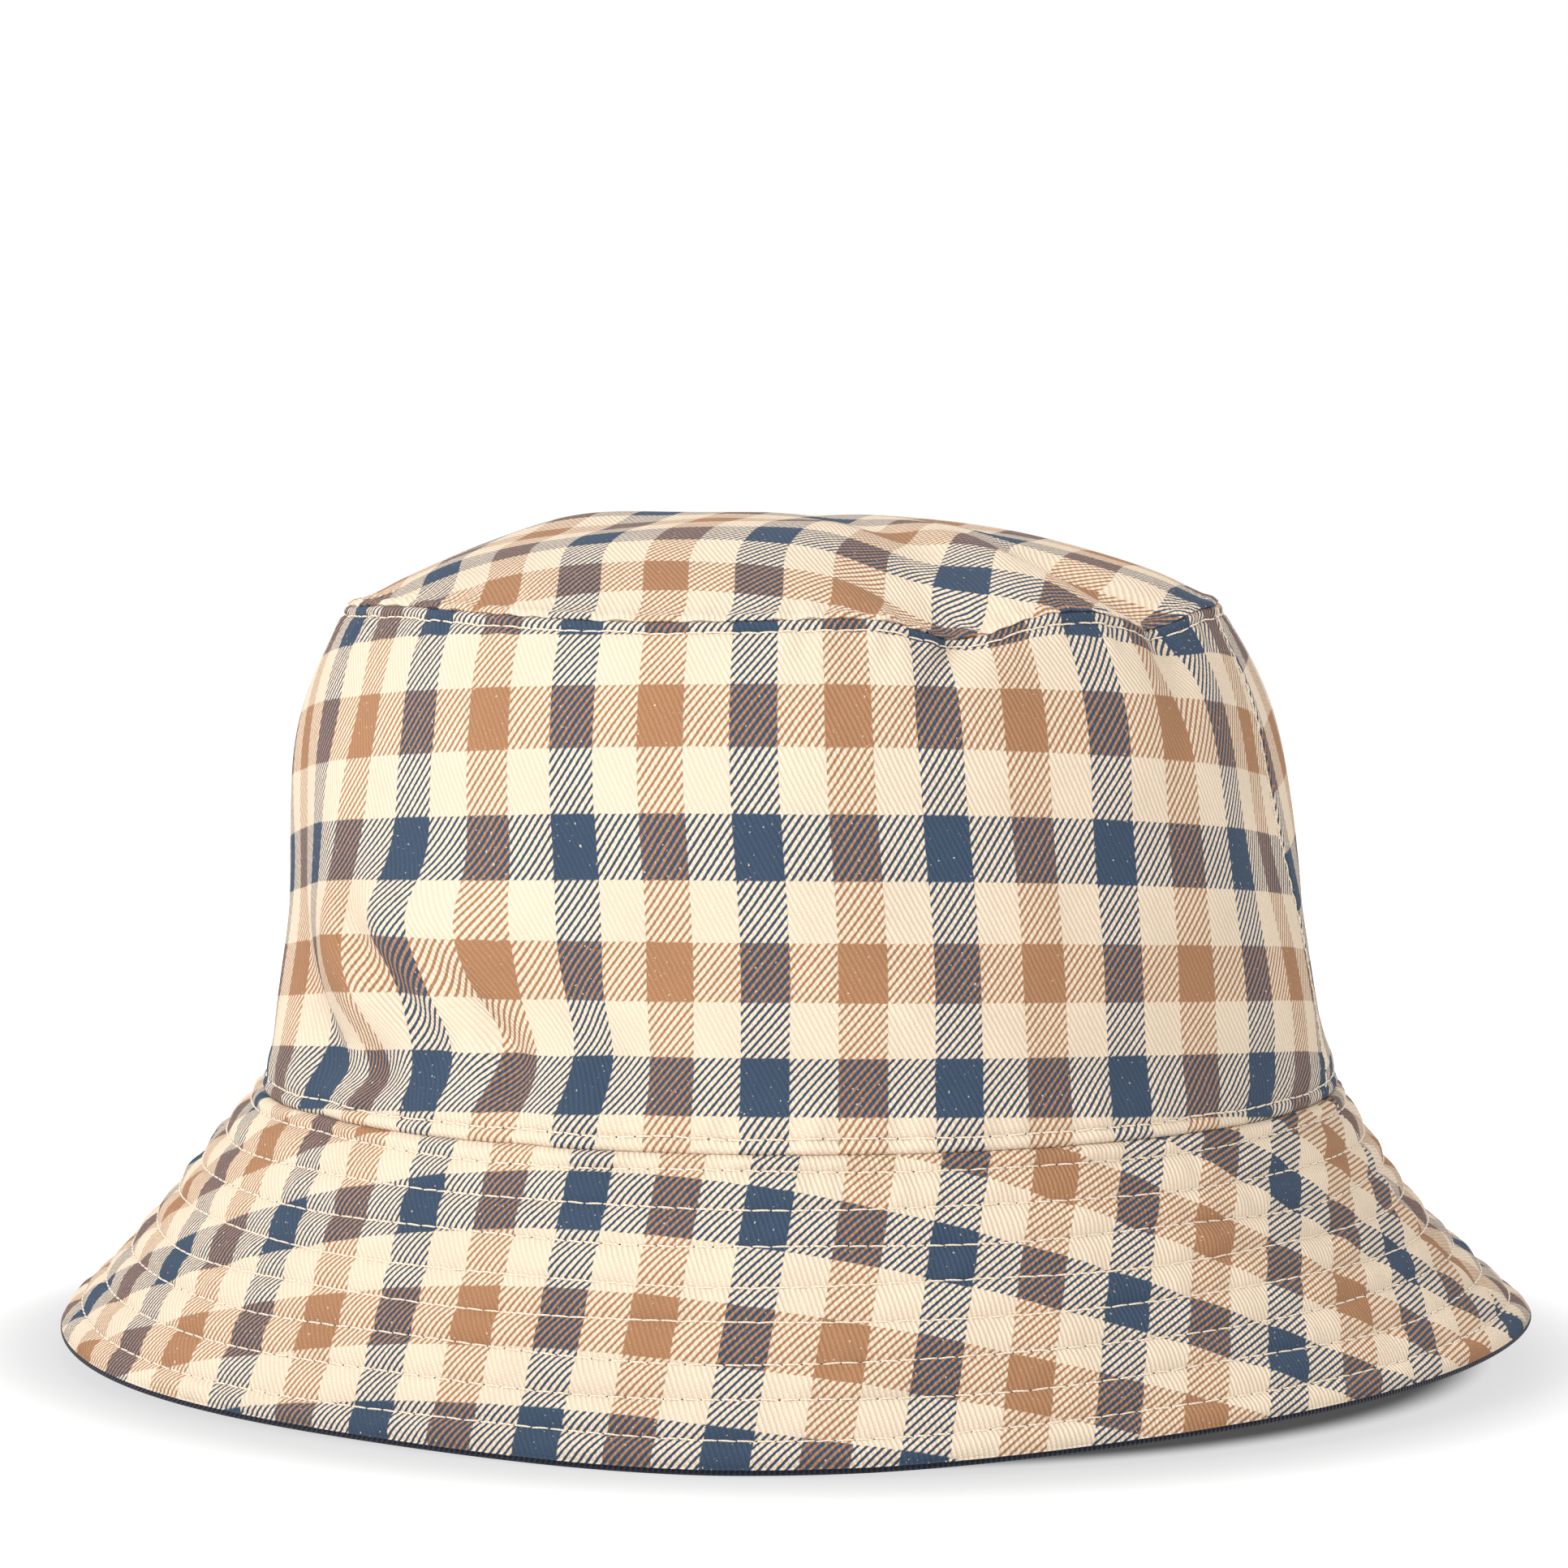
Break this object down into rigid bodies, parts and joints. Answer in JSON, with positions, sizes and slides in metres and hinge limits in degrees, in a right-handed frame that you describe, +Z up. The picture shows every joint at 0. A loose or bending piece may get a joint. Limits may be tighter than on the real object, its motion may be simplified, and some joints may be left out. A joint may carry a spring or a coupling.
{
  "type": "bucket hat",
  "caption": "Soft bucket hat with a domed round tip, a sloping two-piece crown and a downturned, row-stitched brim; printed check outside, plain dark lining.",
  "frame": {"origin": "on the crown's axis, in the plane of the brim's edge that the hat stands on", "axes": "+Z up through the crown, -Y the wearer's front, +X the wearer's left"},
  "size_m": [0.2566, 0.2298, 0.1452],
  "materials": {
    "check_twill": "soft matt cotton twill printed with a cream, tan and navy check",
    "navy_twill": "plain navy cotton twill",
    "interlining": "unbleached woven interlining, hidden",
    "cream_thread": "spun cream sewing thread",
    "navy_thread": "spun navy sewing thread",
    "label_cloth": "blank woven satin label"
  },
  "bodies": {
    "hat": {"crown_tip": "check_twill", "crown_side_front": "check_twill", "crown_side_back": "check_twill", "brim_top_front": "check_twill", "brim_top_back": "check_twill", "lining_tip": "navy_twill", "lining_side_front": "navy_twill", "lining_side_back": "navy_twill", "under_brim_front": "navy_twill", "under_brim_back": "navy_twill", "tip_interlining": "interlining", "side_interlining_front": "interlining", "side_interlining_back": "interlining", "brim_stiffener_front": "interlining", "brim_stiffener_back": "interlining", "brim_stitch_row_1": "cream_thread", "brim_stitch_row_2": "cream_thread", "brim_stitch_row_3": "cream_thread", "brim_stitch_row_4": "cream_thread", "brim_stitch_row_5": "cream_thread", "brim_stitch_row_6": "cream_thread", "brim_stitch_row_7": "cream_thread", "brim_stitch_row_8": "cream_thread", "base_topstitch": "cream_thread", "tip_topstitch": "cream_thread", "side_topstitch_left": "cream_thread", "side_topstitch_right": "cream_thread", "brim_bobbin_row_1": "navy_thread", "brim_bobbin_row_2": "navy_thread", "brim_bobbin_row_3": "navy_thread", "brim_bobbin_row_4": "navy_thread", "brim_bobbin_row_5": "navy_thread", "brim_bobbin_row_6": "navy_thread", "brim_bobbin_row_7": "navy_thread", "brim_bobbin_row_8": "navy_thread", "base_bobbin_thread": "navy_thread"},
    "label": {"care_label": "label_cloth"}
  },
  "joints": [
    {"name": "label_fold", "type": "hinge", "parent": "hat", "child": "label", "pos_m": [0, 0.08946, 0.046], "axis": [1, 0, 0], "range_deg": [-160, 22]}
  ]
}
